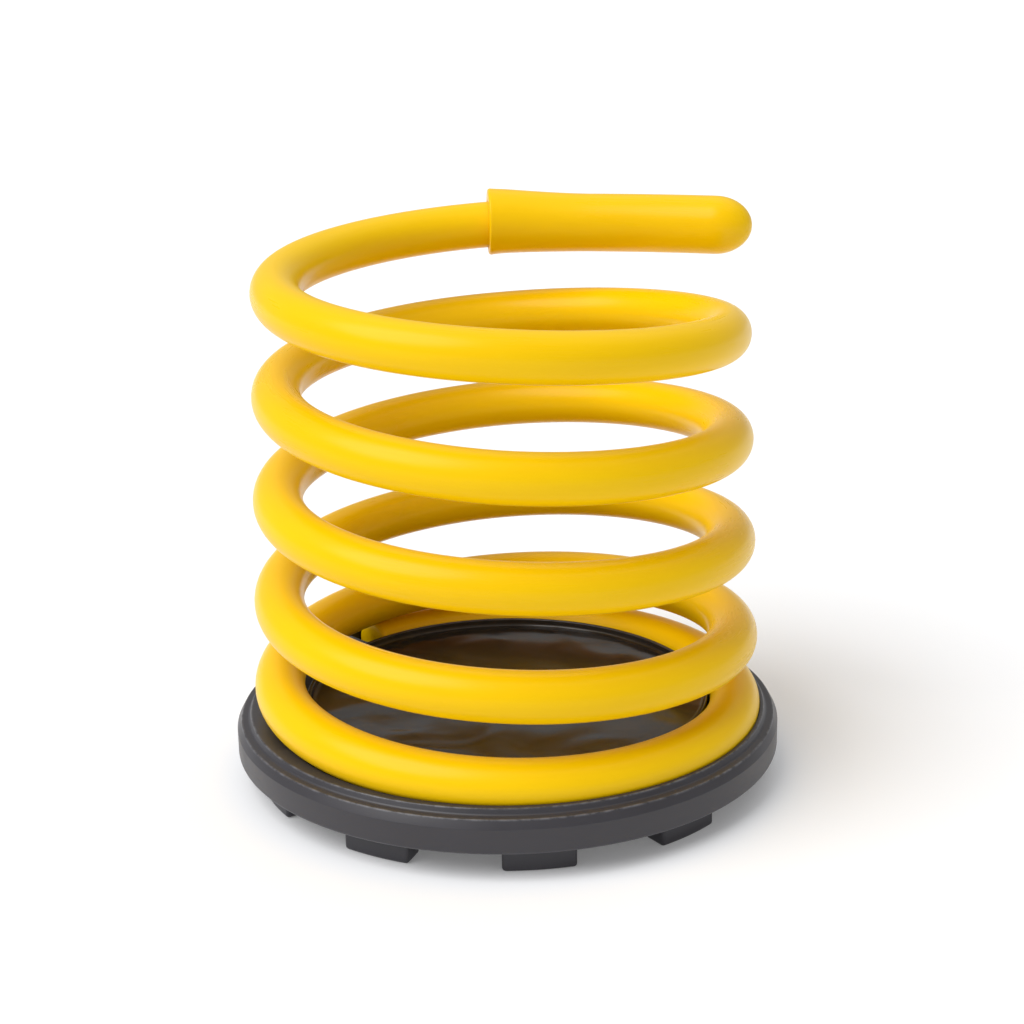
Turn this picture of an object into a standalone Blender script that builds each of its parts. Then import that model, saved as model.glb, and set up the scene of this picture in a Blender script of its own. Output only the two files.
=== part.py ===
"""Coil spring unit of a gymnastics vaulting springboard: a steel coil in a plastic jacket, with a sleeve
over its upper end and its bottom turn seated in a round base with lugs. Metres, +Z up, base on z = 0."""

import math

import bmesh
import bpy
import numpy as np
from mathutils import Matrix

MM = 0.001
GAP = 0.3 * MM  # left between pieces that touch

# Wire: a steel core in a plastic jacket.
CORE_RADIUS = 4.75 * MM
JACKET_WALL = 1.62 * MM
WIRE_RADIUS = CORE_RADIUS + GAP + JACKET_WALL

# Coil. Turns are counted from the rear of the top turn, downwards and anticlockwise seen from above.
TURNS = 5.11
TOP_TURN_RADIUS = 57.6 * MM
TAPER = 0.94 * MM  # growth of the turn's radius per turn down
TOP_PITCH = 20.25 * MM
BODY_PITCH = 27.87 * MM
SEAT_PITCH = 7.5 * MM
CLOSED_GAP = 0.32 * MM  # between the wire's lower end and the turn above it
TOP_EASED = 0.6  # the turn from which the body's pitch holds
BODY_END = 3.3  # the turn up to which it holds
LOW_START = 3.7
LOW_END = 4.42
SEAT_START = 4.585
SEAT_TURN = 3.75  # the coil is still from here down
CLEAR_TURN = 4.15  # above this turn the wire is clear of the base
TOP_LEAN = 0.85 * MM  # how far the first turn down is wound high at the front and low at the rear
NEXT_LEAN = -0.55 * MM  # the same of the turn below it
MOVING_HALVES = 8
TAIL_CAP = 1.6 * MM

# Straighter end of the wire, and the sleeve on it. Lengths run from turn 0.
END_BEND_RADIUS = 220.0 * MM
END_EASED = 2.0 * MM  # how soon the wire's climb fades out
END_LENGTH = 60.9 * MM  # to the foot of the sleeve's domed end
JACKET_SHORT = 9.5 * MM  # of that foot
CORE_SHORT = 5.5 * MM
SLEEVE_START = -3.4 * MM
SLEEVE_WALL = 1.13 * MM
SLEEVE_FLARE = 1.2 * MM
SLEEVE_LIFT = 0.8 * MM  # of the mouth's centre above the wire's
SLEEVE_FLARE_SHARE = 0.45  # of the sleeve's length, over which the mouth narrows
SLEEVE_CURVE = 1.6  # how quickly it narrows at first
SLEEVE_EDGE = 0.5 * MM
SLEEVE_DOME = 10.3 * MM

# Base ring. Widths are measured inwards from its wall, heights from the floor.
LIP_GRIP = 0.4 * MM  # how far the lip reaches under the wire's widest point
LIP_WIDTH = 1.7 * MM
COVE_WIDTH = 0.7 * MM  # from the lip to the foot of the cove outside it
COVE_RISE = 0.2 * MM
RIM_WIDTH = 5.5 * MM
CHAMFER_IN = 1.2 * MM
LUG_IN = 5.4 * MM
LUG_THICK = 7.3 * MM
SKIRT_IN = 7.7 * MM
SKIRT_THICK = 5.5 * MM
WEB_HOLE = 24.0 * MM
SKIRT_BOTTOM = 4.3 * MM
WALL_BOTTOM = 7.3 * MM
WEB_THICK = 3.0 * MM
GROOVE_FLOOR = 12.6 * MM
WALL_TOP = 14.1 * MM
CHAMFER_TOP = 16.3 * MM
LIP_TOP = 18.1 * MM
EDGE = 0.35 * MM  # edges rounded off the base and the dish
LUG_COUNT = 10
LUG_ANGLE = math.radians(16)
LUG_FIRST = math.radians(276.5)
LUG_EDGE = 1.0 * MM
LUG_ROOT = 1.0 * MM  # how far a lug reaches up into the ring
SEAT_END_ROOM = 4.0 * MM  # past the wire's lower end

# Dish inside the bottom turn, and its screws.
DISH_CLEARANCE = 1.07 * MM  # to the wire's lower end
DISH_FLOOR = 18.5 * MM
DISH_SAG = 0.6 * MM
DISH_THICK = 2.6 * MM
DISH_RIM_THICK = 3.0 * MM
DISH_COVE = 1.2 * MM
LEDGE_RISE = 2.2 * MM
LEDGE_WIDTH = 1.2 * MM
SCREW_COUNT = 6
SCREW_IN = 12.6 * MM  # from the dish's edge
SCREW_RADIUS = 2.0 * MM
SCREW_COVER = 2.5 * MM  # dish left over a screw's tip
SCREW_HEAD_RADIUS = 3.9 * MM
SCREW_HEAD = 2.4 * MM
SCREW_DOME = 1.0 * MM
SCREW_DRIVE_RADIUS = 1.3 * MM
BOSS_RADIUS = 4.6 * MM

# Division of round shapes. A curve with resolution n has 4 + 2 n sides.
JACKET_RESOLUTION = 4
CORE_RESOLUTION = 2
STEPS_PER_TURN = 28
END_STEP = 0.005  # turns
BASE_STEPS = 72
SCREW_STEPS = 12
SLEEVE_STEPS = 10
DOME_ANGLES = (25, 48, 68, 84)
PAST = 2.0 * MM  # how far a cutter runs past what it cuts

YELLOW = (1.0, 0.68, 0.005)
CHARCOAL = (0.055, 0.058, 0.064)
STEEL = (0.3, 0.3, 0.31)
ZINC = (0.6, 0.6, 0.62)

for old in list(bpy.data.objects):
    bpy.data.objects.remove(old, do_unlink=True)
parts = bpy.data.collections.new("springboard_coil_spring")
cutters = bpy.data.collections.new("cutters")
cutters.hide_render = True
for group in (parts, cutters):
    bpy.context.scene.collection.children.link(group)


def add(name, mesh, colour, metallic=0.0, roughness=0.4, origin=(0.0, 0.0, 0.0)):
    """One piece of the object, with its own material and its origin where the piece turns."""
    material = bpy.data.materials.new(name)
    material.use_nodes = True
    shader = material.node_tree.nodes["Principled BSDF"]
    shader.inputs["Base Color"].default_value = (*colour, 1.0)
    shader.inputs["Metallic"].default_value = metallic
    shader.inputs["Roughness"].default_value = roughness
    mesh.materials.clear()
    mesh.materials.append(material)
    for face in mesh.polygons:
        face.use_smooth = True
    obj = bpy.data.objects.new(name, mesh)
    mesh.transform(Matrix.Translation(origin).inverted())
    obj.location = origin
    parts.objects.link(obj)
    return obj


def helper(name, mesh):
    obj = bpy.data.objects.new(name, mesh)
    obj.hide_render = True
    obj.display_type = "WIRE"
    cutters.objects.link(obj)
    return obj


def boolean(obj, other, operation):
    modifier = obj.modifiers.new(other.name, "BOOLEAN")
    modifier.operation = operation
    modifier.solver = "EXACT"
    modifier.object = other


def closed_mesh(obj):
    """The object's evaluated mesh, with its loose caps and seams joined and its faces outwards. Removes it."""
    cutters.objects.link(obj)
    bpy.context.view_layer.update()
    graph = bpy.context.evaluated_depsgraph_get()
    mesh = bpy.data.meshes.new_from_object(obj.evaluated_get(graph))
    mesh.name = obj.name
    bpy.data.objects.remove(obj, do_unlink=True)
    bm = bmesh.new()
    bm.from_mesh(mesh)
    bmesh.ops.remove_doubles(bm, verts=bm.verts, dist=0.000005)
    bmesh.ops.recalc_face_normals(bm, faces=bm.faces)
    bm.to_mesh(mesh)
    bm.free()
    return mesh


def low_pitch():
    """The pitch above the seat that leaves CLOSED_GAP between the wire's lower end and the turn above it."""
    at_low = (LOW_END + SEAT_START) / 2 - (TURNS - 1)
    return (2 * WIRE_RADIUS + CLOSED_GAP - (1 - at_low) * SEAT_PITCH) / at_low


def wire_height(turn):
    """Height of the wire's centre. The pitch is summed up from the seat, where the wire lies in the groove."""
    turns = (0.0, TOP_EASED, BODY_END, LOW_START, LOW_END, SEAT_START, TURNS + 1)
    pitches = (TOP_PITCH, BODY_PITCH, BODY_PITCH, low_pitch(), low_pitch(), SEAT_PITCH, SEAT_PITCH)
    grid = np.linspace(0.0, TURNS + 1, 2001)
    pitch = np.interp(grid, turns, pitches)
    drop = np.concatenate([[0.0], np.cumsum((pitch[1:] + pitch[:-1]) / 2 * np.diff(grid))])
    in_groove = GROOVE_FLOOR + GAP + WIRE_RADIUS
    return in_groove + float(np.interp(SEAT_START, grid, drop) - np.interp(turn, grid, drop))


def lean(turn):
    """How far the wire's centre lies above its even winding, which it meets at the sides of the coil."""
    turns = (0.0, 0.5, 1.0, 1.5, 2.0, 2.5)
    amounts = (0.0, TOP_LEAN, TOP_LEAN, NEXT_LEAN, NEXT_LEAN, 0.0)
    return -float(np.interp(turn, turns, amounts)) * math.cos(2 * math.pi * turn)


def turn_radius(turn):
    return TOP_TURN_RADIUS + TAPER * turn


def wire_centre(turn):
    """The wire's centre. Turns below 0 follow its straighter upper end."""
    if turn >= 0:
        angle = math.pi / 2 + 2 * math.pi * turn
        radius = turn_radius(turn)
        return radius * math.cos(angle), radius * math.sin(angle), wire_height(turn) + lean(turn)
    length = -turn * 2 * math.pi * TOP_TURN_RADIUS
    angle = math.pi / 2 - length / END_BEND_RADIUS
    slope = TOP_PITCH / (2 * math.pi * TOP_TURN_RADIUS)
    return (END_BEND_RADIUS * math.cos(angle),
            TOP_TURN_RADIUS - END_BEND_RADIUS * (1 - math.sin(angle)),
            wire_height(0.0) + slope * END_EASED * (1 - math.exp(-length / END_EASED)))


def turns_between(low, high):
    """Even steps up the wire from turn low to turn high, with a short one at each end to square off its cut.
    Lengths that begin at the same turn are divided at the same places, so that one fits inside the other."""
    even = np.arange(low, high, -1 / STEPS_PER_TURN)[1:]
    return [low, low - END_STEP, *even[even > high + 2 * END_STEP], high + END_STEP, high]


def wire(name, turns, radii, resolution, caps=True, lifts=None):
    """A round wire along the coil's path, as a mesh. radii is one radius, or one for each turn. lifts are
    the heights of its centre above the path."""
    radii = [radii] * len(turns) if isinstance(radii, float) else radii
    lifts = lifts or [0.0] * len(turns)
    curve = bpy.data.curves.new(name, "CURVE")
    curve.dimensions = "3D"
    curve.twist_mode = "Z_UP"
    curve.bevel_depth = 1.0
    curve.bevel_resolution = resolution
    curve.use_fill_caps = caps
    spline = curve.splines.new("POLY")
    spline.points.add(len(turns) - 1)
    for point, turn, radius, lift in zip(spline.points, turns, radii, lifts):
        x, y, z = wire_centre(turn)
        point.co = (x, y, z + lift, 1.0)
        point.radius = radius
    return closed_mesh(bpy.data.objects.new(name, curve))


def jacket(name, low, high, hinge=(0.0, 0.0, 0.0)):
    """A length of the plastic jacket: a tube with open ends."""
    skin = wire(name, turns_between(low, high), WIRE_RADIUS, JACKET_RESOLUTION, caps=False)
    wall = add(name, skin, YELLOW, origin=hinge).modifiers.new("wall", "SOLIDIFY")
    wall.thickness = WIRE_RADIUS - CORE_RADIUS - GAP
    wall.offset = -1.0


def core(name, low, high, hinge=(0.0, 0.0, 0.0)):
    """A length of the steel core."""
    steel = wire(name, turns_between(low, high), CORE_RADIUS, CORE_RESOLUTION)
    add(name, steel, STEEL, metallic=1.0, roughness=0.35, origin=hinge)


def turned(name, profile, steps):
    """The mesh of a profile of (radius, height), from its top down the outer side, turned about Z."""
    mesh = bpy.data.meshes.new(name)
    mesh.from_pydata([(r, 0.0, z) for r, z in profile], [(i, i + 1) for i in range(len(profile) - 1)], [])
    obj = bpy.data.objects.new(name, mesh)
    screw = obj.modifiers.new("turned", "SCREW")
    screw.steps = screw.render_steps = steps
    screw.use_merge_vertices = True
    screw.merge_threshold = 0.00001
    return closed_mesh(obj)


def lug(name, outer):
    """One lug of the ring, from the floor up into the base: a bent bar with its lower edges rounded."""
    height = WALL_BOTTOM + LUG_ROOT
    curve = bpy.data.curves.new(name, "CURVE")
    curve.dimensions = "2D"
    curve.fill_mode = "BOTH"
    curve.extrude = height / 2
    outline = curve.splines.new("POLY")
    angles = np.linspace(-LUG_ANGLE / 2, LUG_ANGLE / 2, 5)
    corners = [(outer, a) for a in angles] + [(outer - LUG_THICK, a) for a in angles[::-1]]
    outline.points.add(len(corners) - 1)
    outline.use_cyclic_u = True
    for point, (radius, angle) in zip(outline.points, corners):
        point.co = (radius * math.cos(angle), radius * math.sin(angle), 0.0, 1.0)
    mesh = closed_mesh(bpy.data.objects.new(name, curve))
    mesh.transform(Matrix.Translation((0.0, 0.0, height / 2)))
    return mesh


def spaced(mesh, name, places):
    """One mesh of separate copies of a closed mesh, each at its place and turn about Z, to join or cut with."""
    bm = bmesh.new()
    for x, y, angle in places:
        copy = mesh.copy()
        copy.transform(Matrix.Translation((x, y, 0.0)) @ Matrix.Rotation(angle, 4, "Z"))
        bm.from_mesh(copy)
        bpy.data.meshes.remove(copy)
    out = bpy.data.meshes.new(name)
    bm.to_mesh(out)
    bm.free()
    return out


def turns_in(length):
    """How many turns this length of the wire takes up."""
    return length / (2 * math.pi * TOP_TURN_RADIUS)


def along_end(length):
    """The turn number at this length past turn 0, towards the wire's upper end."""
    return -turns_in(length)


# Where the wire's pieces begin and end. It is divided at the sides of the coil, where it runs along Y.
half_gap = turns_in(GAP / 2)
seat_high = SEAT_TURN + half_gap
cap_top = TURNS - turns_in(TAIL_CAP)
seat_low = cap_top - 2 * half_gap

# Sizes that follow the wire's bottom turn.
groove_radius = turn_radius(SEAT_START) + WIRE_RADIUS - LIP_GRIP
base_radius = groove_radius + RIM_WIDTH
chamfer_radius = base_radius - CHAMFER_IN
skirt_radius = base_radius - SKIRT_IN
lug_radius = base_radius - LUG_IN
dish_radius = turn_radius(TURNS) - WIRE_RADIUS - DISH_CLEARANCE
ring_inner = dish_radius + GAP
lip_radius = groove_radius + LIP_WIDTH
ledge_radius = dish_radius - LEDGE_WIDTH
ledge_top = DISH_FLOOR + LEDGE_RISE
web_top = WALL_BOTTOM + WEB_THICK
dish_bottom = web_top + GAP
dish_under = DISH_FLOOR - DISH_SAG - DISH_THICK
boss_top = dish_under + DISH_THICK / 2
screw_hole = SCREW_RADIUS + GAP
head_top = WALL_BOTTOM - GAP
head_bottom = head_top - SCREW_HEAD
screw_top = DISH_FLOOR - SCREW_COVER
screw_places = []
for i in range(SCREW_COUNT):
    angle = 2 * math.pi * (i + 0.5) / SCREW_COUNT
    out = dish_radius - SCREW_IN
    screw_places.append((out * math.cos(angle), out * math.sin(angle), 0.0))

# Base ring: turned body, the wire's seat, the screw holes and the lugs.
base = add("base_ring", turned("base_ring", [
    (lip_radius - EDGE, LIP_TOP),
    (lip_radius, LIP_TOP - EDGE),
    (lip_radius + COVE_WIDTH, CHAMFER_TOP + COVE_RISE),
    (chamfer_radius - EDGE, CHAMFER_TOP),
    (chamfer_radius, CHAMFER_TOP - EDGE),
    (base_radius - EDGE, WALL_TOP + EDGE),
    (base_radius, WALL_TOP - EDGE),
    (base_radius, WALL_BOTTOM + 2 * EDGE),
    (base_radius - 2 * EDGE, WALL_BOTTOM),
    (skirt_radius, WALL_BOTTOM),
    (skirt_radius, SKIRT_BOTTOM),
    (skirt_radius - SKIRT_THICK, SKIRT_BOTTOM),
    (skirt_radius - SKIRT_THICK, WALL_BOTTOM),
    (WEB_HOLE, WALL_BOTTOM),
    (WEB_HOLE, web_top),
    (ring_inner, web_top),
    (ring_inner, LIP_TOP),
    (lip_radius - EDGE, LIP_TOP),
], BASE_STEPS), CHARCOAL, roughness=0.42)
in_base = [turn for turn in turns_between(seat_low, seat_high) if turn > CLEAR_TURN]
in_base.insert(0, TURNS + turns_in(SEAT_END_ROOM))
wire_seat = wire("wire_seat", in_base, WIRE_RADIUS + GAP, JACKET_RESOLUTION)
boolean(base, helper("wire_seat", wire_seat), "DIFFERENCE")
hole = turned("web_hole", [
    (0.0, web_top + PAST), (screw_hole, web_top + PAST),
    (screw_hole, WALL_BOTTOM - PAST), (0.0, WALL_BOTTOM - PAST)], SCREW_STEPS)
boolean(base, helper("web_holes", spaced(hole, "web_holes", screw_places)), "DIFFERENCE")
lug_places = [(0.0, 0.0, LUG_FIRST + 2 * math.pi * i / LUG_COUNT) for i in range(LUG_COUNT)]
lugs = helper("lugs", spaced(lug("lug", lug_radius), "lugs", lug_places))
rounded = lugs.modifiers.new("rounded", "BEVEL")
rounded.width = LUG_EDGE
rounded.segments = 2
rounded.limit_method = "ANGLE"
rounded.angle_limit = math.radians(60)
boolean(base, lugs, "UNION")

# Dish that fills the inside of the bottom turn. Its rim and its bosses stand on the base's web.
dish = add("dish", turned("dish", [
    (0.0, DISH_FLOOR - DISH_SAG),
    (ledge_radius - DISH_COVE, DISH_FLOOR),
    (ledge_radius - EDGE, DISH_FLOOR + EDGE),
    (ledge_radius, ledge_top - EDGE),
    (ledge_radius + EDGE, ledge_top),
    (dish_radius - EDGE, ledge_top),
    (dish_radius, ledge_top - EDGE),
    (dish_radius, dish_bottom),
    (dish_radius - DISH_RIM_THICK, dish_bottom),
    (dish_radius - DISH_RIM_THICK, dish_under),
    (0.0, dish_under),
], BASE_STEPS), CHARCOAL, roughness=0.15)
boss = turned("boss", [
    (0.0, boss_top), (BOSS_RADIUS, boss_top), (BOSS_RADIUS, dish_bottom), (0.0, dish_bottom)], SCREW_STEPS)
boolean(dish, helper("bosses", spaced(boss, "bosses", screw_places)), "UNION")
pilot = turned("pilot", [
    (0.0, screw_top + GAP), (screw_hole, screw_top + GAP),
    (screw_hole, dish_bottom - PAST), (0.0, dish_bottom - PAST)], SCREW_STEPS)
boolean(dish, helper("pilots", spaced(pilot, "pilots", screw_places)), "DIFFERENCE")

# Screws up through the web into the dish's bosses.
screw = turned("screw", [
    (0.0, screw_top),
    (SCREW_RADIUS, screw_top),
    (SCREW_RADIUS, head_top),
    (SCREW_HEAD_RADIUS, head_top),
    (SCREW_HEAD_RADIUS, head_bottom + SCREW_DOME),
    (SCREW_HEAD_RADIUS - SCREW_DOME, head_bottom),
    (SCREW_DRIVE_RADIUS, head_bottom),
    (SCREW_DRIVE_RADIUS, head_bottom + SCREW_DOME),
    (0.0, head_bottom + SCREW_DOME),
], SCREW_STEPS)
for i, place in enumerate(screw_places):
    name = f"screw_{i + 1}"
    origin = (place[0], place[1], head_top)
    add(name, spaced(screw, name, [place]), ZINC, metallic=1.0, roughness=0.3, origin=origin)

# Coil: the length held still in the base, then the half turns that flex, each about its lower end.
jacket("jacket_seat", seat_low, seat_high)
core("core_seat", seat_low, seat_high)
add("tail_cap", wire("tail_cap", [TURNS, cap_top], WIRE_RADIUS, JACKET_RESOLUTION), YELLOW)
for k in range(1, MOVING_HALVES + 1):
    low = SEAT_TURN - 0.5 * (k - 1)
    high = low - 0.5
    last = k == MOVING_HALVES
    hinge = wire_centre(low)
    jacket(f"jacket_{k}", low - half_gap, along_end(END_LENGTH - JACKET_SHORT) if last else high + half_gap, hinge)
    core(f"core_{k}", low - half_gap, along_end(END_LENGTH - CORE_SHORT) if last else high + half_gap, hinge)

# Sleeve on the last half turn: flared and open at its mouth, domed at the wire's end.
sleeve_lengths = [SLEEVE_START, SLEEVE_START + SLEEVE_EDGE]
sleeve_radius = WIRE_RADIUS + GAP + SLEEVE_WALL
sleeve_radii = [sleeve_radius + SLEEVE_FLARE - SLEEVE_EDGE, sleeve_radius + SLEEVE_FLARE]
sleeve_lifts = [SLEEVE_LIFT, SLEEVE_LIFT]
for share in np.linspace(0.0, 1.0, SLEEVE_STEPS + 1)[1:]:
    narrowed = max(0.0, 1 - share / SLEEVE_FLARE_SHARE) ** SLEEVE_CURVE
    sleeve_lengths.append(SLEEVE_START + share * (END_LENGTH - SLEEVE_START))
    sleeve_radii.append(sleeve_radius + SLEEVE_FLARE * narrowed)
    sleeve_lifts.append(SLEEVE_LIFT * narrowed)
for angle in np.radians(DOME_ANGLES):
    sleeve_lengths.append(END_LENGTH + SLEEVE_DOME * math.sin(angle))
    sleeve_radii.append(sleeve_radius * math.cos(angle))
    sleeve_lifts.append(0.0)
sleeve_turns = [along_end(length) for length in sleeve_lengths]
sleeve_skin = wire("sleeve", sleeve_turns, sleeve_radii, JACKET_RESOLUTION, lifts=sleeve_lifts)
sleeve = add("sleeve", sleeve_skin, YELLOW, origin=hinge)
bore_turns = turns_between(low - half_gap, along_end(END_LENGTH - CORE_SHORT + GAP))
bore_turns = [turn for turn in bore_turns if turn < along_end(SLEEVE_START - PAST)]
bore_turns.insert(0, along_end(SLEEVE_START - PAST))
sleeve_bore = wire("sleeve_bore", bore_turns, WIRE_RADIUS + GAP, JACKET_RESOLUTION)
boolean(sleeve, helper("sleeve_bore", sleeve_bore), "DIFFERENCE")
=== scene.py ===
import math

import bmesh
import bpy
import numpy as np
from mathutils import Matrix, Vector


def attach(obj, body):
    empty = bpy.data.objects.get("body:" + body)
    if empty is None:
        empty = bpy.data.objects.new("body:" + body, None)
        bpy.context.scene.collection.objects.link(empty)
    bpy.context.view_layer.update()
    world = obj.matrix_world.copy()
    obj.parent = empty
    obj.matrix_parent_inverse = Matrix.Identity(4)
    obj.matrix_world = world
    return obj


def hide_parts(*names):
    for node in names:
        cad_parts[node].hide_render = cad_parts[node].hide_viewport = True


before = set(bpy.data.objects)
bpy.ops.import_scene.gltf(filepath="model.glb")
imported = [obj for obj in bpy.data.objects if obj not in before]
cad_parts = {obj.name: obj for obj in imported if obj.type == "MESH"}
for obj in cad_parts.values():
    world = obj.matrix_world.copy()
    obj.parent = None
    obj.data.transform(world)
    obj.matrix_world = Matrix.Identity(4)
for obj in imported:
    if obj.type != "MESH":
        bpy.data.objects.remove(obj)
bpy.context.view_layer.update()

MM = 0.001
TAU = 2 * math.pi
GAP = 0.3 * MM
TINY = 1e-7  # a radius smaller than this is a point

# Sizes, as in the part.
CORE_RADIUS = 4.75 * MM
JACKET_WALL = 1.62 * MM
WIRE_RADIUS = CORE_RADIUS + GAP + JACKET_WALL
TURNS = 5.11
TOP_TURN_RADIUS = 57.6 * MM
TAPER = 0.94 * MM
TOP_PITCH = 20.25 * MM
BODY_PITCH = 27.87 * MM
SEAT_PITCH = 7.5 * MM
CLOSED_GAP = 0.32 * MM
TOP_EASED = 0.6
BODY_END = 3.3
LOW_START = 3.7
LOW_END = 4.42
SEAT_START = 4.585
SEAT_TURN = 3.75
CLEAR_TURN = 4.15
TOP_LEAN = 0.85 * MM
NEXT_LEAN = -0.55 * MM
MOVING_HALVES = 8
SKIN_TOP = 6.42 * MM
SKIN_GROWTH = 0.065 * MM  # per turn down
END_BEND_RADIUS = 220.0 * MM
END_EASED = 2.0 * MM
END_LENGTH = 60.9 * MM
JACKET_SHORT = 9.5 * MM
CORE_SHORT = 5.5 * MM
SLEEVE_START = -3.4 * MM
SLEEVE_WALL = 1.13 * MM
SLEEVE_RADIUS = WIRE_RADIUS + GAP + SLEEVE_WALL
SLEEVE_FLARE = 1.2 * MM
SLEEVE_FLARE_SHARE = 0.45
SLEEVE_CURVE = 1.6
SLEEVE_LIFT = 0.76 * MM
SLEEVE_DOME = 10.3 * MM
GROOVE_FLOOR = 12.6 * MM
WALL_BOTTOM = 7.3 * MM
WALL_TOP = 14.1 * MM
CHAMFER_TOP = 16.3 * MM
LIP_TOP = 18.1 * MM
LIP_WIDTH = 1.7 * MM
COVE_WIDTH = 0.7 * MM
COVE_RISE = 0.2 * MM
SKIRT_BOTTOM = 4.3 * MM
SKIRT_THICK = 5.5 * MM
WEB_HOLE = 24.0 * MM
WEB_THICK = 3.0 * MM
WEB_TOP = WALL_BOTTOM + WEB_THICK
LUG_COUNT = 10
LUG_ANGLE = math.radians(16)
LUG_FIRST = math.radians(276.5)
LUG_THICK = 7.3 * MM
LUG_EDGE = 1.0 * MM
LUG_ROOT = 1.0 * MM
SEAT_END_ROOM = 4.0 * MM
DISH_FLOOR = 18.5 * MM
DISH_SAG = 0.6 * MM
DISH_RIM_THICK = 3.0 * MM
DISH_COVE = 1.2 * MM
LEDGE_RISE = 2.2 * MM
LEDGE_TOP = DISH_FLOOR + LEDGE_RISE
DISH_THICK = 2.6 * MM
DISH_UNDER = DISH_FLOOR - DISH_SAG - DISH_THICK
DISH_BOTTOM = WEB_TOP + GAP
SCREW_COUNT = 6
SCREW_RADIUS = 2.0 * MM
SCREW_HEAD_RADIUS = 3.9 * MM
HEAD_TOP = WALL_BOTTOM - GAP
SCREW_HEAD = 2.4 * MM
HEAD_BOTTOM = HEAD_TOP - SCREW_HEAD
SCREW_COVER = 2.5 * MM
SCREW_TOP = DISH_FLOOR - SCREW_COVER
BOSS_RADIUS = 4.6 * MM
BOSS_SUNK = 1.3 * MM  # into the dish's floor
DRIVE_RADIUS = 1.3 * MM
DRIVE_DEPTH = 1.4 * MM
CUT_PAST = 2.0 * MM  # how far a cutter runs past what it cuts

# Division of the round shapes.
WIRE_STEPS = 120  # per turn
WIRE_SIDES = 56
BASE_STEPS = 288
HOLE_STEPS = 32
BOSS_STEPS = 48


def low_pitch():
    at_low = (LOW_END + SEAT_START) / 2 - (TURNS - 1)
    return (2 * WIRE_RADIUS + CLOSED_GAP - (1 - at_low) * SEAT_PITCH) / at_low


PITCH_TURNS = (0.0, TOP_EASED, BODY_END, LOW_START, LOW_END, SEAT_START, TURNS + 1)
PITCHES = (TOP_PITCH, BODY_PITCH, BODY_PITCH, low_pitch(), low_pitch(), SEAT_PITCH, SEAT_PITCH)
path_turns = np.linspace(0.0, TURNS + 1, 2001)
path_pitch = np.interp(path_turns, PITCH_TURNS, PITCHES)
path_drop = np.concatenate([[0.0], np.cumsum((path_pitch[1:] + path_pitch[:-1]) / 2 * np.diff(path_turns))])


def wire_height(turn):
    """Height of the wire's centre, summed up from the groove it lies in."""
    in_groove = GROOVE_FLOOR + GAP + WIRE_RADIUS
    return in_groove + np.interp(SEAT_START, path_turns, path_drop) - np.interp(turn, path_turns, path_drop)


def lean(turn):
    """How far the wire's centre lies above its even winding, which it meets at the sides of the coil."""
    turns = (0.0, 0.5, 1.0, 1.5, 2.0, 2.5)
    amounts = (0.0, TOP_LEAN, TOP_LEAN, NEXT_LEAN, NEXT_LEAN, 0.0)
    return -np.interp(turn, turns, amounts) * math.cos(TAU * turn)


def turn_radius(turn):
    return TOP_TURN_RADIUS + TAPER * turn


def along_end(length):
    """The turn number at this length past turn 0, towards the wire's upper end."""
    return -length / (TAU * TOP_TURN_RADIUS)


def wire_frame(turn):
    """The wire's centre and the level direction straight outwards from the coil there."""
    if turn >= 0:
        angle = math.pi / 2 + TAU * turn
        out = Vector((math.cos(angle), math.sin(angle), 0.0))
        return out * turn_radius(turn) + Vector((0.0, 0.0, wire_height(turn) + lean(turn))), out
    length = -turn * TAU * TOP_TURN_RADIUS
    angle = math.pi / 2 - length / END_BEND_RADIUS
    out = Vector((math.cos(angle), math.sin(angle), 0.0))
    slope = TOP_PITCH / (TAU * TOP_TURN_RADIUS)
    rise = wire_height(0.0) + slope * END_EASED * (1 - math.exp(-length / END_EASED))
    return out * END_BEND_RADIUS + Vector((0.0, TOP_TURN_RADIUS - END_BEND_RADIUS, rise)), out


# Sizes that follow from those.
LIP_GRIP = 0.4 * MM
GROOVE_RADIUS = turn_radius(SEAT_START) + WIRE_RADIUS - LIP_GRIP
RIM_WIDTH = 5.5 * MM
BASE_RADIUS = GROOVE_RADIUS + RIM_WIDTH
CHAMFER_IN = 1.2 * MM
CHAMFER_RADIUS = BASE_RADIUS - CHAMFER_IN
SKIRT_IN = 7.7 * MM
SKIRT_RADIUS = BASE_RADIUS - SKIRT_IN
LUG_IN = 5.4 * MM
LUG_RADIUS = BASE_RADIUS - LUG_IN
DISH_CLEARANCE = 1.07 * MM
DISH_RADIUS = turn_radius(TURNS) - WIRE_RADIUS - DISH_CLEARANCE
RING_INNER = DISH_RADIUS + GAP
LIP_RADIUS = GROOVE_RADIUS + LIP_WIDTH
LEDGE_WIDTH = 1.2 * MM
LEDGE_RADIUS = DISH_RADIUS - LEDGE_WIDTH
SCREW_IN = 12.6 * MM
SCREW_CIRCLE = DISH_RADIUS - SCREW_IN
TAIL_CAP = 1.6 * MM
CAP_TOP = TURNS + along_end(TAIL_CAP)


# ---------------------------------------------------------------- meshes

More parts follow.
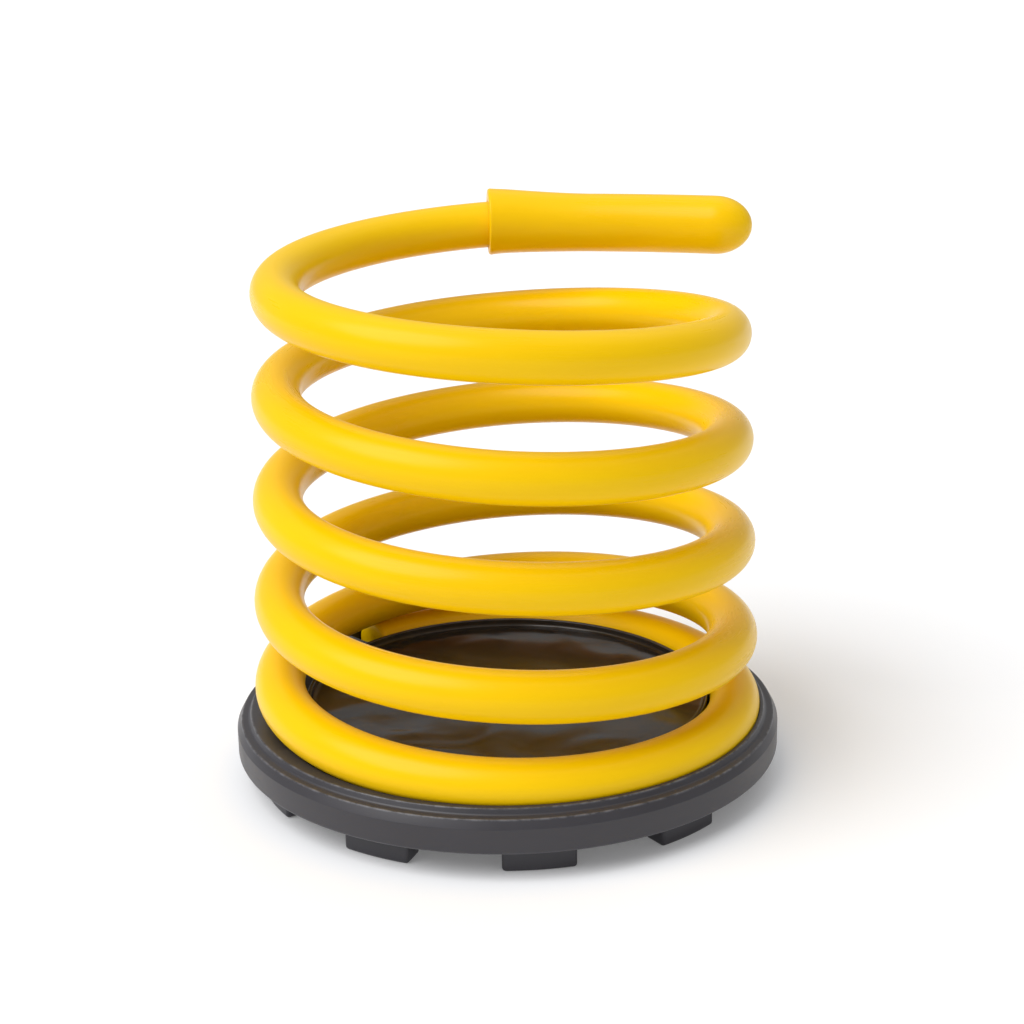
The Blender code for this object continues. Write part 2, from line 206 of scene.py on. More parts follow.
def mesh_of_rings(name, rings, closed=False, places=None):
    """A mesh skinned over rings of points. closed joins the last ring to the first. Otherwise each end is
    filled with one face, or drawn to a point where its ring is a single point."""
    mesh = bpy.data.meshes.new(name)
    points, starts = [], []
    for ring in rings:
        starts.append(len(points))
        points.extend(ring)
    faces = []
    pairs = list(zip(range(len(rings) - 1), range(1, len(rings))))
    if closed:
        pairs.append((len(rings) - 1, 0))
    for a, b in pairs:
        na, nb = len(rings[a]), len(rings[b])
        for i in range(max(na, nb)):
            j = (i + 1) % max(na, nb)
            if na == 1:
                faces.append((starts[a], starts[b] + j, starts[b] + i))
            elif nb == 1:
                faces.append((starts[a] + i, starts[a] + j, starts[b]))
            else:
                faces.append((starts[a] + i, starts[a] + j, starts[b] + j, starts[b] + i))
    if not closed:
        if len(rings[0]) > 1:
            faces.append(tuple(range(len(rings[0])))[::-1])
        if len(rings[-1]) > 1:
            faces.append(tuple(starts[-1] + i for i in range(len(rings[-1]))))
    mesh.from_pydata([tuple(p) for p in points], [], faces)
    if places is not None:
        flat = np.array([c for ring in places for p in ring for c in p], np.float32)
        attribute = mesh.attributes.new("wire_place", "FLOAT_VECTOR", "POINT")
        attribute.data.foreach_set("vector", flat)
    mesh.update()
    return mesh


def piece(name, mesh, body, material, replaces=()):
    for face in mesh.polygons:
        face.use_smooth = True
    mesh.materials.clear()
    mesh.materials.append(material)
    obj = bpy.data.objects.new(name, mesh)
    bpy.context.scene.collection.objects.link(obj)
    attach(obj, body)
    if replaces:
        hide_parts(*replaces)
    return obj


def skin_radius(turn):
    """Radius of the jacket's skin, which the moulding leaves a little thicker towards the lower turns."""
    return SKIN_TOP + SKIN_GROWTH * max(turn, 0.0)


def wire_ring(turn, radius, sides=WIRE_SIDES, lift=0.0):
    """Points round the wire in the upright plane across it, and their places along, across and up it."""
    centre, out = wire_frame(turn)
    centre = centre + Vector((0.0, 0.0, lift))
    points, places = [], []
    length = turn * TAU * TOP_TURN_RADIUS
    for i in range(sides):
        angle = TAU * i / sides
        across, up = radius * math.cos(angle), radius * math.sin(angle)
        points.append(centre + out * across + Vector((0.0, 0.0, up)))
        places.append((length, across, up))
    return points, places


def surface_normals(turns, radii, sides=WIRE_SIDES):
    """Outward normals of a tube of these radii at each of its ring points, from its slopes."""
    step = 1e-4
    found = []
    slopes = np.gradient(np.array(radii, float), np.array(turns, float))
    for turn, radius, slope in zip(turns, radii, slopes):
        before, _ = wire_ring(turn - step, radius - slope * step, sides)
        after, _ = wire_ring(turn + step, radius + slope * step, sides)
        row = []
        centre, out = wire_frame(turn)
        for i in range(sides):
            angle = TAU * i / sides
            round_it = out * -math.sin(angle) + Vector((0.0, 0.0, math.cos(angle)))
            normal = (after[i] - before[i]).cross(round_it)
            spoke = out * math.cos(angle) + Vector((0.0, 0.0, math.sin(angle)))
            normal.normalize()
            row.append(normal if normal.dot(spoke) > 0 else -normal)
        found.append(row)
    return found


def even_turns(low, high, steps=WIRE_STEPS):
    """Turn numbers from low to high on a shared grid, so that lengths that meet are divided alike."""
    inside = [i / steps for i in range(math.ceil(high * steps), math.floor(low * steps) + 1)]
    inside = [t for t in inside if high + 0.1 / steps < t < low - 0.1 / steps]
    return [high, *inside, low]


def tube(name, low, high):
    """A length of the jacket, open at both ends, with exact normals so that lengths meet unseen."""
    turns = even_turns(low, high)
    radii = [skin_radius(t) for t in turns]
    outer = [wire_ring(t, r) for t, r in zip(turns, radii)]
    inner = [wire_ring(t, CORE_RADIUS + GAP) for t in turns[::-1]]
    rings = [r for r, _ in outer] + [r for r, _ in inner]
    places = [p for _, p in outer] + [p for _, p in inner]
    mesh = mesh_of_rings(name, rings, closed=True, places=places)
    skin = surface_normals(turns, radii)
    if mesh.polygons[0].normal.dot(skin[0][0]) < 0:
        mesh.flip_normals()
    count = len(turns)
    normals = []
    for face in mesh.polygons:
        rows = {v // WIRE_SIDES for v in face.vertices}
        for v in face.vertices:
            row, side = divmod(v, WIRE_SIDES)
            if max(rows) < count:
                normals.append(skin[row][side])
            elif min(rows) >= count:
                normals.append(-skin[2 * count - 1 - row][side])
            else:
                normals.append(face.normal.copy())
    for face in mesh.polygons:
        face.use_smooth = True
    mesh.normals_split_custom_set(normals)
    return mesh


def wire_solid(name, turns, radii, sides=WIRE_SIDES, lifts=None):
    """A solid along the wire through rings of these radii, raised by lifts. A radius of 0 is a point."""
    rings, places = [], []
    for turn, radius, lift in zip(turns, radii, lifts or [0.0] * len(turns)):
        points, where = wire_ring(turn, radius, sides, lift)
        if radius < TINY:
            points, where = points[:1], where[:1]
        rings.append(points)
        places.append(where)
    return outward(mesh_of_rings(name, rings, places=places))


def rounded(profile, radii, steps=5):
    """A profile of (radius, height) with each corner rounded to its radius."""
    out = []
    count = len(profile)
    for i, (corner, radius) in enumerate(zip(profile, radii)):
        here = Vector(corner)
        before, after = Vector(profile[i - 1]), Vector(profile[(i + 1) % count])
        if radius <= 0 or i in (0, count - 1) and profile[0] != profile[-1] and corner[0] == 0:
            out.append(tuple(here))
            continue
        a, b = (before - here), (after - here)
        half = a.angle(b) / 2
        reach = min(radius / math.tan(half), 0.49 * min(a.length, b.length))
        radius = reach * math.tan(half)
        a.normalize()
        b.normalize()
        centre = here + (a + b).normalized() * (radius / math.sin(half))
        start, end = here + a * reach - centre, here + b * reach - centre
        for k in range(steps + 1):
            share = k / steps
            out.append(tuple(centre + start.lerp(end, share).normalized() * radius))
    return out


def turned(name, profile, steps=BASE_STEPS, closed=False):
    """A profile of (radius, height) turned about Z. A point on the axis is one point."""
    rings = []
    for radius, height in profile:
        if radius < TINY:
            rings.append([Vector((0.0, 0.0, height))])
        else:
            angles = [TAU * i / steps for i in range(steps)]
            rings.append([Vector((radius * math.cos(a), radius * math.sin(a), height)) for a in angles])
    return mesh_of_rings(name, rings, closed=closed)


def outward(mesh):
    bm = bmesh.new()
    bm.from_mesh(mesh)
    bmesh.ops.recalc_face_normals(bm, faces=bm.faces)
    bm.to_mesh(mesh)
    bm.free()
    return mesh


def moved(mesh, name, places):
    """One mesh of copies of another, each at its place and turn about Z."""
    bm = bmesh.new()
    for x, y, angle in places:
        copy = mesh.copy()
        copy.transform(Matrix.Translation((x, y, 0.0)) @ Matrix.Rotation(angle, 4, "Z"))
        bm.from_mesh(copy)
        bpy.data.meshes.remove(copy)
    out = bpy.data.meshes.new(name)
    bm.to_mesh(out)
    bm.free()
    return out


def combined(name, mesh, steps):
    """The mesh after each (operation, other mesh) in turn."""
    obj = bpy.data.objects.new(name, mesh)
    bpy.context.scene.collection.objects.link(obj)
    helpers = []
    for operation, other in steps:
        cutter = bpy.data.objects.new(name + "_cutter", other)
        bpy.context.scene.collection.objects.link(cutter)
        helpers.append(cutter)
        modifier = obj.modifiers.new(operation, "BOOLEAN")
        modifier.operation = operation
        modifier.solver = "EXACT"
        modifier.object = cutter
    bpy.context.view_layer.update()
    graph = bpy.context.evaluated_depsgraph_get()
    out = bpy.data.meshes.new_from_object(obj.evaluated_get(graph))
    out.name = name
    for old in [obj, *helpers]:
        bpy.data.objects.remove(old, do_unlink=True)
    return out


def smooth_within(mesh, degrees):
    """Smooth shading, apart from edges sharper than this."""
    for face in mesh.polygons:
        face.use_smooth = True
    mesh.set_sharp_from_angle(angle=math.radians(degrees))


# ---------------------------------------------------------------- materials

class Nodes:
    """A material's nodes, with short ways to make and join them."""

    def __init__(self, name):
        self.material = bpy.data.materials.new(name)
        self.material.use_nodes = True
        self.tree = self.material.node_tree
        self.shader = self.tree.nodes["Principled BSDF"]

    def add(self, kind):
        return self.tree.nodes.new(kind)

    def join(self, out, socket):
        self.tree.links.new(out, socket)

    def noise(self, vector, scale, detail=4.0, roughness=0.5, distortion=0.0):
        node = self.add("ShaderNodeTexNoise")
        node.inputs["Scale"].default_value = scale
        node.inputs["Detail"].default_value = detail
        node.inputs["Roughness"].default_value = roughness
        node.inputs["Distortion"].default_value = distortion
        self.join(vector, node.inputs["Vector"])
        return node.outputs["Fac"]

    def stretch(self, vector, scale):
        node = self.add("ShaderNodeMapping")
        node.inputs["Scale"].default_value = scale
        self.join(vector, node.inputs["Vector"])
        return node.outputs["Vector"]

    def ramp(self, value, low, high, to_low=0.0, to_high=1.0):
        node = self.add("ShaderNodeMapRange")
        node.inputs["From Min"].default_value = low
        node.inputs["From Max"].default_value = high
        node.inputs["To Min"].default_value = to_low
        node.inputs["To Max"].default_value = to_high
        self.join(value, node.inputs["Value"])
        return node.outputs["Result"]

    def math(self, operation, a, b):
        node = self.add("ShaderNodeMath")
        node.operation = operation
        for socket, value in zip(node.inputs, (a, b)):
            if isinstance(value, (int, float)):
                socket.default_value = value
            else:
                self.join(value, socket)
        return node.outputs[0]

    def mix(self, factor, a, b):
        node = self.add("ShaderNodeMix")
        node.data_type = "RGBA"
        self.join(factor, node.inputs["Factor"])
        for socket, value in ((node.inputs["A"], a), (node.inputs["B"], b)):
            if isinstance(value, tuple):
                socket.default_value = (*value, 1.0)
            else:
                self.join(value, socket)
        return node.outputs["Result"]

    def attribute(self, name):
        node = self.add("ShaderNodeAttribute")
        node.attribute_name = name
        return node

    def place(self):
        return self.add("ShaderNodeTexCoord").outputs["Object"]

    def near_edges(self, at, edges, reach):
        """1 on the round edges about Z, each a (radius, height), falling to 0 at this reach."""
        split = self.add("ShaderNodeSeparateXYZ")
        self.join(at, split.inputs[0])
        x, y, z = split.outputs
        across = self.math("ADD", self.math("MULTIPLY", x, x), self.math("MULTIPLY", y, y))
        radius = self.math("SQRT", across, 0.0)
        nearest = None
        for edge_radius, height in edges:
            out = self.math("SUBTRACT", radius, edge_radius)
            up = self.math("SUBTRACT", z, height)
            squares = self.math("ADD", self.math("MULTIPLY", out, out), self.math("MULTIPLY", up, up))
            away = self.math("SQRT", squares, 0.0)
            nearest = away if nearest is None else self.math("MINIMUM", nearest, away)
        return self.ramp(nearest, 0.0, reach, 1.0, 0.0)

    def bump(self, height, distance, strength=1.0, over=None):
        node = self.add("ShaderNodeBump")
        node.inputs["Strength"].default_value = strength
        node.inputs["Distance"].default_value = distance
        self.join(height, node.inputs["Height"])
        if over is not None:
            self.join(over, node.inputs["Normal"])
        return node.outputs["Normal"]

    def finish(self, colour=None, roughness=None, normal=None, **fixed):
        for socket, out in (("Base Color", colour), ("Roughness", roughness), ("Normal", normal)):
            if out is not None:
                self.join(out, self.shader.inputs[socket])
        for key, value in fixed.items():
            self.shader.inputs[key.replace("_", " ")].default_value = value
        return self.material


def jacket_material(name):
    """Yellow plastic: satin gloss, with faint lengthwise flow marks, a fine grain and light scuffs."""
    n = Nodes(name)
    along = n.attribute("wire_place").outputs["Vector"]
    broad = n.noise(n.stretch(along, (22.0, 60.0, 60.0)), 1.0, 3.0)
    streaks = n.noise(n.stretch(along, (60.0, 900.0, 900.0)), 1.0, 3.0)
    grain = n.noise(n.stretch(along, (1500.0, 1500.0, 1500.0)), 1.0, 2.0)
    scuffs = n.noise(n.stretch(along, (160.0, 420.0, 420.0)), 1.0, 6.0, 0.65, 0.6)
    scuffed = n.ramp(scuffs, 0.60, 0.72)
    colour = n.mix(n.ramp(broad, 0.3, 0.7), (0.90, 0.545, 0.0), (0.93, 0.585, 0.0))
    colour = n.mix(n.ramp(streaks, 0.2, 0.8, 0.0, 0.35), colour, (0.89, 0.53, 0.0))
    colour = n.mix(n.math("MULTIPLY", scuffed, 0.12), colour, (0.92, 0.60, 0.01))
    rough = n.math("ADD", n.ramp(broad, 0.25, 0.75, 0.25, 0.33), n.ramp(streaks, 0.2, 0.8, -0.02, 0.03))
    rough = n.math("ADD", rough, n.math("MULTIPLY", scuffed, 0.12))
    normal = n.bump(broad, 0.5 * MM, 0.25)
    normal = n.bump(streaks, 0.05 * MM, 0.18, normal)
    normal = n.bump(grain, 0.02 * MM, 0.25, normal)
    return n.finish(colour, rough, normal, Specular_IOR_Level=0.16, IOR=1.5)


# Edges that are handled and rubbed, whose colour is lighter partly as wear and partly as a painted
# highlight: (radius, height).
BASE_WEAR_AND_HIGHLIGHT_EDGES = [(LIP_RADIUS, LIP_TOP), (CHAMFER_RADIUS, CHAMFER_TOP),
              (BASE_RADIUS, WALL_BOTTOM), (LUG_RADIUS, 0.0)]
DISH_WEAR_AND_HIGHLIGHT_EDGES = [(LEDGE_RADIUS, LEDGE_TOP), (DISH_RADIUS, LEDGE_TOP)]


def base_material():
    """Dark grey moulded plastic with a fine spark-eroded grain, rubbed smooth along its edges, where its
    colour is lighter partly as wear and partly as a painted highlight.
    """
    n = Nodes("base_plastic")
    at = n.place()
    edge_wear_and_highlight = n.near_edges(at, BASE_WEAR_AND_HIGHLIGHT_EDGES, 0.5 * MM)
    cloud = n.noise(at, 55.0, 4.0)
    grain = n.noise(at, 2600.0, 2.0)
    chips = n.noise(at, 420.0, 5.0, 0.6)
    scratch = n.noise(n.stretch(at, (1.0, 1.0, 7.0)), 240.0, 5.0, 0.6, 0.8)
    chipped_wear_and_highlight = n.math("MULTIPLY", edge_wear_and_highlight, n.ramp(chips, 0.38, 0.62))
    colour = n.mix(n.ramp(cloud, 0.3, 0.7), (0.030, 0.028, 0.034), (0.035, 0.033, 0.040))
    colour = n.mix(n.ramp(scratch, 0.64, 0.76, 0.0, 0.3), colour, (0.055, 0.053, 0.060))
    # lighter along the edges: partly rubbed wear, partly a painted highlight on the rounded edges
    colour = n.mix(n.math("MULTIPLY", chipped_wear_and_highlight, 0.8), colour, (0.16, 0.16, 0.175))
    rough = n.math("ADD", n.ramp(cloud, 0.3, 0.7, 0.36, 0.46), n.ramp(scratch, 0.62, 0.72, 0.0, 0.08))
    rough = n.math("SUBTRACT", rough, n.math("MULTIPLY", edge_wear_and_highlight, 0.08))
    normal = n.bump(grain, 0.03 * MM, 0.35)
    normal = n.bump(cloud, 0.2 * MM, 0.05, normal)
    return n.finish(colour, rough, normal, Specular_IOR_Level=0.5, IOR=1.5)


def dish_material():
    """Glossy dark plastic, with the slow waves of a thin moulding and a haze of fine rubbing."""
    n = Nodes("dish_plastic")
    at = n.place()
    waves = n.noise(at, 42.0, 1.5, 0.4, 0.5)
    haze = n.noise(at, 120.0, 5.0, 0.6)
    fine = n.noise(at, 1800.0, 2.0)
    edge_wear_and_highlight = n.near_edges(at, DISH_WEAR_AND_HIGHLIGHT_EDGES, 0.4 * MM)
    colour = n.mix(n.ramp(haze, 0.3, 0.7), (0.016, 0.013, 0.011), (0.024, 0.020, 0.017))
    # lighter along the ledge's edges: partly wear, partly a painted highlight
    colour = n.mix(n.math("MULTIPLY", edge_wear_and_highlight, n.ramp(haze, 0.35, 0.6, 0.2, 0.8)), colour, (0.10, 0.10, 0.10))
    rough = n.ramp(haze, 0.3, 0.75, 0.10, 0.20)
    normal = n.bump(waves, 1.8 * MM, 0.7)
    normal = n.bump(fine, 0.02 * MM, 0.2, normal)
    return n.finish(colour, rough, normal, Specular_IOR_Level=0.4, IOR=1.5)


def steel_material(name, dark, light, low, high, brushed):
    """Metal with a drawn or turned finish: fine lines, darker patches and rougher spots."""
    n = Nodes(name)
    at = n.place()
    cloud = n.noise(at, 160.0, 5.0, 0.6)
    lines = n.noise(n.stretch(at, brushed), 1.0, 3.0)
    colour = n.mix(n.ramp(cloud, 0.3, 0.7), dark, light)
    rough = n.math("ADD", n.ramp(cloud, 0.3, 0.7, low, high), n.ramp(lines, 0.3, 0.7, -0.04, 0.06))
    normal = n.bump(lines, 0.03 * MM, 0.35)
    return n.finish(colour, rough, normal, Metallic=1.0)


yellow = jacket_material("jacket_plastic")
sleeve_yellow = jacket_material("sleeve_plastic")
base_plastic = base_material()
dish_plastic = dish_material()
spring_steel = steel_material("spring_steel", (0.20, 0.20, 0.21), (0.36, 0.36, 0.37),
                              0.32, 0.5, (900.0, 900.0, 90.0))
zinc_steel = steel_material("zinc_steel", (0.46, 0.46, 0.45), (0.66, 0.66, 0.64),
                            0.24, 0.4, (500.0, 500.0, 1800.0))

# ---------------------------------------------------------------- coil

seat_mesh = tube("seat", CAP_TOP, SEAT_TURN)
piece("seat_jacket", seat_mesh, "base", yellow, ["jacket_seat"])
for k in range(1, MOVING_HALVES + 1):
    low = SEAT_TURN - 0.5 * (k - 1)
    last = k == MOVING_HALVES
    high = along_end(END_LENGTH - JACKET_SHORT) if last else low - 0.5
    piece(f"wire_jacket_{k}", tube(f"wire_jacket_{k}", low, high), f"coil_{k}", yellow,
          [f"jacket_{k}"])

# Closed lower end of the jacket.
cap_edge = 1.1 * MM
tail_radius = skin_radius(TURNS)
cap_turns, cap_radii = [CAP_TOP], [tail_radius]
for i in range(9):
    angle = math.pi / 2 * i / 8
    cap_turns.append(TURNS + along_end(cap_edge * (1 - math.sin(angle))))
    cap_radii.append(tail_radius - cap_edge * (1 - math.cos(angle)))
for share in (0.7, 0.4, 0.15, 0.0):
    cap_turns.append(TURNS)
    cap_radii.append((tail_radius - cap_edge) * share)
cap_mesh = wire_solid("tail", cap_turns, cap_radii)
smooth_within(cap_mesh, 40)
piece("wire_tail", cap_mesh, "base", yellow, ["tail_cap"])

# Sleeve: bore, rounded mouth, narrowing body and domed end.
SLEEVE_STEPS = 64
MOUTH_EDGE = 0.75 * MM


def flare(length):
    """How far the sleeve is flared at this length, from 1 at its mouth to 0."""
    share = (length - SLEEVE_START) / (END_LENGTH - SLEEVE_START)
    return min(1.0, max(0.0, 1 - share / SLEEVE_FLARE_SHARE)) ** SLEEVE_CURVE


def sleeve_radius(length):
    return SLEEVE_RADIUS + SLEEVE_FLARE * flare(length)


bore_radius = skin_radius(0.0) + GAP
bore_end = END_LENGTH - CORE_SHORT + GAP
sleeve_lengths, sleeve_radii = [bore_end, bore_end], [0.0, bore_radius * 0.96]
sleeve_lengths.append(bore_end - 0.4 * MM)
sleeve_radii.append(bore_radius)
for length in np.linspace(bore_end - 1.5 * MM, SLEEVE_START + 1.2 * MM, SLEEVE_STEPS):
    sleeve_lengths.append(length)
    sleeve_radii.append(bore_radius)
inner_edge = 0.35 * MM
for i in range(6):
    angle = math.pi / 2 * i / 5
    sleeve_lengths.append(SLEEVE_START + inner_edge * (1 - math.sin(angle)))
    sleeve_radii.append(bore_radius + inner_edge * (1 - math.cos(angle)))
bore_rings = len(sleeve_lengths)
mouth = sleeve_radius(SLEEVE_START)
for i in range(10):
    angle = math.pi / 2 * i / 9
    sleeve_lengths.append(SLEEVE_START + MOUTH_EDGE * (1 - math.cos(angle)))
    sleeve_radii.append(mouth - MOUTH_EDGE * (1 - math.sin(angle)))
for length in np.linspace(SLEEVE_START + MOUTH_EDGE, END_LENGTH, SLEEVE_STEPS)[1:]:
    sleeve_lengths.append(length)
    sleeve_radii.append(sleeve_radius(length))
for i in range(1, 17):
    angle = math.pi / 2 * i / 16
    sleeve_lengths.append(END_LENGTH + SLEEVE_DOME * math.sin(angle))
    sleeve_radii.append(SLEEVE_RADIUS * math.cos(angle))
sleeve_lifts = [0.0] * bore_rings + [SLEEVE_LIFT * flare(s) for s in sleeve_lengths[bore_rings:]]
sleeve_mesh = wire_solid("sleeve", [along_end(s) for s in sleeve_lengths], sleeve_radii, lifts=sleeve_lifts)
smooth_within(sleeve_mesh, 50)
piece("end_sleeve", sleeve_mesh, "coil_8", sleeve_yellow, ["sleeve"])

# ---------------------------------------------------------------- base

ring_profile = [
    (LIP_RADIUS, LIP_TOP),
    (LIP_RADIUS + COVE_WIDTH, CHAMFER_TOP + COVE_RISE),
    (CHAMFER_RADIUS, CHAMFER_TOP),
    (BASE_RADIUS, WALL_TOP),
    (BASE_RADIUS, WALL_BOTTOM),
    (SKIRT_RADIUS, WALL_BOTTOM),
    (SKIRT_RADIUS, SKIRT_BOTTOM),
    (SKIRT_RADIUS - SKIRT_THICK, SKIRT_BOTTOM),
    (SKIRT_RADIUS - SKIRT_THICK, WALL_BOTTOM),
    (WEB_HOLE, WALL_BOTTOM),
    (WEB_HOLE, WEB_TOP),
    (RING_INNER, WEB_TOP),
    (RING_INNER, LIP_TOP),
]
ring_edges = [0.4, 0.8, 0.3, 0.35, 0.9, 0.5, 0.6, 0.6, 0.8, 0.5, 0.5, 0.3, 0.4]
ring_mesh = outward(turned("ring", rounded(ring_profile, [r * MM for r in ring_edges]), closed=True))


def lug_mesh():
    """One lug, with its lower edges rounded."""
    bm = bmesh.new()
    height = WALL_BOTTOM + LUG_ROOT
    angles = np.linspace(-LUG_ANGLE / 2, LUG_ANGLE / 2, 17)
    outline = [(LUG_RADIUS, a) for a in angles] + [(LUG_RADIUS - LUG_THICK, a) for a in angles[::-1]]
    low = [bm.verts.new((r * math.cos(a), r * math.sin(a), 0.0)) for r, a in outline]
    face = bm.faces.new(low)
    raised = bmesh.ops.extrude_face_region(bm, geom=[face])
    for v in raised["geom"]:
        if isinstance(v, bmesh.types.BMVert):
            v.co.z = height
    bmesh.ops.recalc_face_normals(bm, faces=bm.faces)
    corners = [e for e in bm.edges if e.calc_face_angle(0.0) > math.radians(60)
               and min(v.co.z for v in e.verts) < height - 1e-6]
    bmesh.ops.bevel(bm, geom=corners, offset=LUG_EDGE, offset_type="OFFSET", segments=5, profile=0.5,
                    affect="EDGES", clamp_overlap=True)
    mesh = bpy.data.meshes.new("lug")
    bm.to_mesh(mesh)
    bm.free()
    return mesh


lug_places = [(0.0, 0.0, LUG_FIRST + TAU * i / LUG_COUNT) for i in range(LUG_COUNT)]
seat_turns = even_turns(TURNS - along_end(SEAT_END_ROOM), CLEAR_TURN)
seat_cut = wire_solid("seat_cut", seat_turns, [WIRE_RADIUS + GAP] * len(seat_turns), 48)
screw_places = []
for i in range(SCREW_COUNT):
    angle = TAU * (i + 0.5) / SCREW_COUNT
    screw_places.append((SCREW_CIRCLE * math.cos(angle), SCREW_CIRCLE * math.sin(angle), 0.0))
hole_top, hole_bottom = WEB_TOP + CUT_PAST, WALL_BOTTOM - CUT_PAST
hole = outward(turned("hole", [(0.0, hole_top), (SCREW_RADIUS + GAP, hole_top),
                               (SCREW_RADIUS + GAP, hole_bottom), (0.0, hole_bottom)], HOLE_STEPS))
ring_mesh = combined("base_body", ring_mesh, [
    ("DIFFERENCE", seat_cut),
    ("DIFFERENCE", moved(hole, "holes", screw_places)),
    ("UNION", moved(lug_mesh(), "lugs", lug_places)),
])
smooth_within(ring_mesh, 32)
piece("base_body", ring_mesh, "base", base_plastic, ["base_ring"])

# ---------------------------------------------------------------- dish

dish_profile = [(0.0, DISH_FLOOR - DISH_SAG)]
for share in np.linspace(0.0, 1.0, 25)[1:-1]:
    dish_profile.append((share * (LEDGE_RADIUS - DISH_COVE), DISH_FLOOR - DISH_SAG * (1 - share ** 2)))
dish_profile += [
    (LEDGE_RADIUS - DISH_COVE, DISH_FLOOR),
    (LEDGE_RADIUS, DISH_FLOOR + 0.35 * MM),
    (LEDGE_RADIUS, LEDGE_TOP),
    (DISH_RADIUS, LEDGE_TOP),
    (DISH_RADIUS, DISH_BOTTOM),
    (DISH_RADIUS - DISH_RIM_THICK, DISH_BOTTOM),
    (DISH_RADIUS - DISH_RIM_THICK, DISH_UNDER),
    (0.0, DISH_UNDER),
]
dish_edges = [0.0] * 24 + [0.9, 0.9, 0.3, 0.4, 0.4, 0.4, 0.4, 0.0]
dish_mesh = outward(turned("dish", rounded(dish_profile, [r * MM for r in dish_edges], 4)))
boss_top = DISH_UNDER + BOSS_SUNK
boss = outward(turned("boss", [(0.0, boss_top), (BOSS_RADIUS, boss_top),
                               (BOSS_RADIUS, DISH_BOTTOM), (0.0, DISH_BOTTOM)], BOSS_STEPS))
pilot_top, pilot_bottom = SCREW_TOP + GAP, DISH_BOTTOM - CUT_PAST
pilot = outward(turned("pilot", [(0.0, pilot_top), (SCREW_RADIUS + GAP, pilot_top),
                                 (SCREW_RADIUS + GAP, pilot_bottom), (0.0, pilot_bottom)], HOLE_STEPS))
dish_mesh = combined("dish_floor", dish_mesh, [
    ("UNION", moved(boss, "bosses", screw_places)),
    ("DIFFERENCE", moved(pilot, "pilots", screw_places)),
])
smooth_within(dish_mesh, 32)
piece("dish_floor", dish_mesh, "base", dish_plastic, ["dish"])

# ---------------------------------------------------------------- screws

head = [
    (0.0, SCREW_TOP), (SCREW_RADIUS - 0.5 * MM, SCREW_TOP), (SCREW_RADIUS, SCREW_TOP - 0.8 * MM),
    (SCREW_RADIUS, HEAD_TOP), (SCREW_HEAD_RADIUS, HEAD_TOP), (SCREW_HEAD_RADIUS, HEAD_BOTTOM + 1.1 * MM),
    (SCREW_HEAD_RADIUS - 1.2 * MM, HEAD_BOTTOM), (0.0, HEAD_BOTTOM)]
head_edges = [0.0, 0.1, 0.2, 0.15, 0.2, 0.6, 0.8, 0.0]
screw_mesh = outward(turned("screw", rounded(head, [r * MM for r in head_edges], 5), 64))
drive_top, drive_bottom = HEAD_BOTTOM + DRIVE_DEPTH, HEAD_BOTTOM - 1 * MM
drive = outward(turned("drive", [(0.0, drive_top), (DRIVE_RADIUS, drive_top),
                                 (DRIVE_RADIUS, drive_bottom), (0.0, drive_bottom)], 6))
screw_mesh = combined("screw", screw_mesh, [("DIFFERENCE", drive)])
smooth_within(screw_mesh, 35)
for i, place in enumerate(screw_places):
    piece(f"web_screw_{i + 1}", moved(screw_mesh, f"web_screw_{i + 1}", [place]), "base",
          zinc_steel, [f"screw_{i + 1}"])

# ---------------------------------------------------------------- steel cores stay as the CAD has them

for name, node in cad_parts.items():
    if name.startswith("core_"):
        node.data.materials.clear()
        node.data.materials.append(spring_steel)

# ---------------------------------------------------------------- stage

bpy.context.scene.view_settings.view_transform = "Standard"


def floor_material():
    n = Nodes("floor")
    n.shader.inputs["Base Color"].default_value = (0.82, 0.825, 0.84, 1.0)
    n.shader.inputs["Roughness"].default_value = 0.9
    n.shader.inputs["Emission Color"].default_value = (1.0, 1.0, 1.0, 1.0)
    n.shader.inputs["Emission Strength"].default_value = 0.14
    n.shader.inputs["Specular IOR Level"].default_value = 0.0
    return n.material


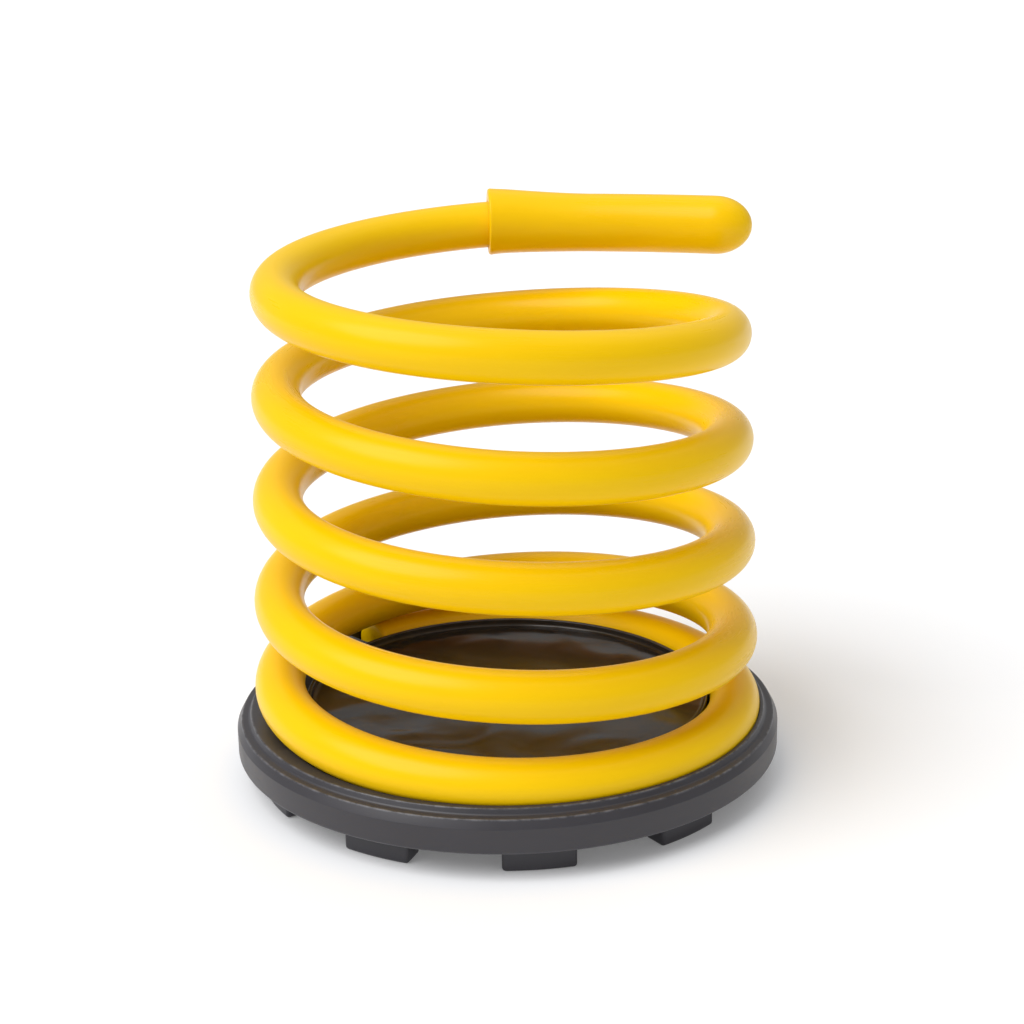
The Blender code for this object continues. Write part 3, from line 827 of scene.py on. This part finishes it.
floor_mesh = bpy.data.meshes.new("floor")
FLOOR_REACH = 12.0
corners = [(x * FLOOR_REACH, y * FLOOR_REACH, 0.0) for x, y in ((-1, -1), (1, -1), (1, 1), (-1, 1))]
floor_mesh.from_pydata(corners, [], [(0, 1, 2, 3)])
floor_mesh.materials.append(floor_material())
floor = bpy.data.objects.new("floor", floor_mesh)
bpy.context.scene.collection.objects.link(floor)
FLOOR_UNDER = 0.02 * MM  # so that the lugs' undersides and the floor don't share a plane
floor.location.z = -FLOOR_UNDER

world = bpy.data.worlds.new("studio")
world.use_nodes = True
world.node_tree.nodes["Background"].inputs["Color"].default_value = (1.0, 1.0, 1.0, 1.0)
world.node_tree.nodes["Background"].inputs["Strength"].default_value = 0.45
bpy.context.scene.world = world


def far_light(name, place, spread, strength):
    """A soft light from far off, which lights the floor alike everywhere. spread is its width in degrees."""
    data = bpy.data.lights.new(name, "SUN")
    data.angle = math.radians(spread)
    data.energy = strength
    light = bpy.data.objects.new(name, data)
    bpy.context.scene.collection.objects.link(light)
    light.location = place
    light.rotation_euler = (-Vector(place)).to_track_quat("-Z", "Y").to_euler()


far_light("key", (-0.75, -0.45, 1.1), 50, 2.3)
far_light("top", (0.1, 0.3, 1.0), 70, 0.5)

# Camera.
ELEVATION = math.radians(17.72)
DISTANCE = 560.4 * MM
ROLL = math.radians(-0.91)
LENS = 73.86
SENSOR_WIDTH = 36.0
target = Vector((2.11 * MM, 0.0, 71.3 * MM))
position = target + DISTANCE * Vector((0.0, -math.cos(ELEVATION), math.sin(ELEVATION)))
forward = (target - position).normalized()
right = Vector((1.0, 0.0, 0.0))
up = right.cross(forward)
rolled_right = right * math.cos(ROLL) + up * math.sin(ROLL)
rolled_up = up * math.cos(ROLL) - right * math.sin(ROLL)
camera_data = bpy.data.cameras.new("camera")
camera_data.lens = LENS
camera_data.sensor_width = SENSOR_WIDTH
camera_data.clip_start = 0.01
camera_data.clip_end = 100.0
camera = bpy.data.objects.new("camera", camera_data)
bpy.context.scene.collection.objects.link(camera)
camera.matrix_world = Matrix((
    (rolled_right.x, rolled_up.x, -forward.x, position.x),
    (rolled_right.y, rolled_up.y, -forward.y, position.y),
    (rolled_right.z, rolled_up.z, -forward.z, position.z),
    (0.0, 0.0, 0.0, 1.0)))
bpy.context.scene.camera = camera
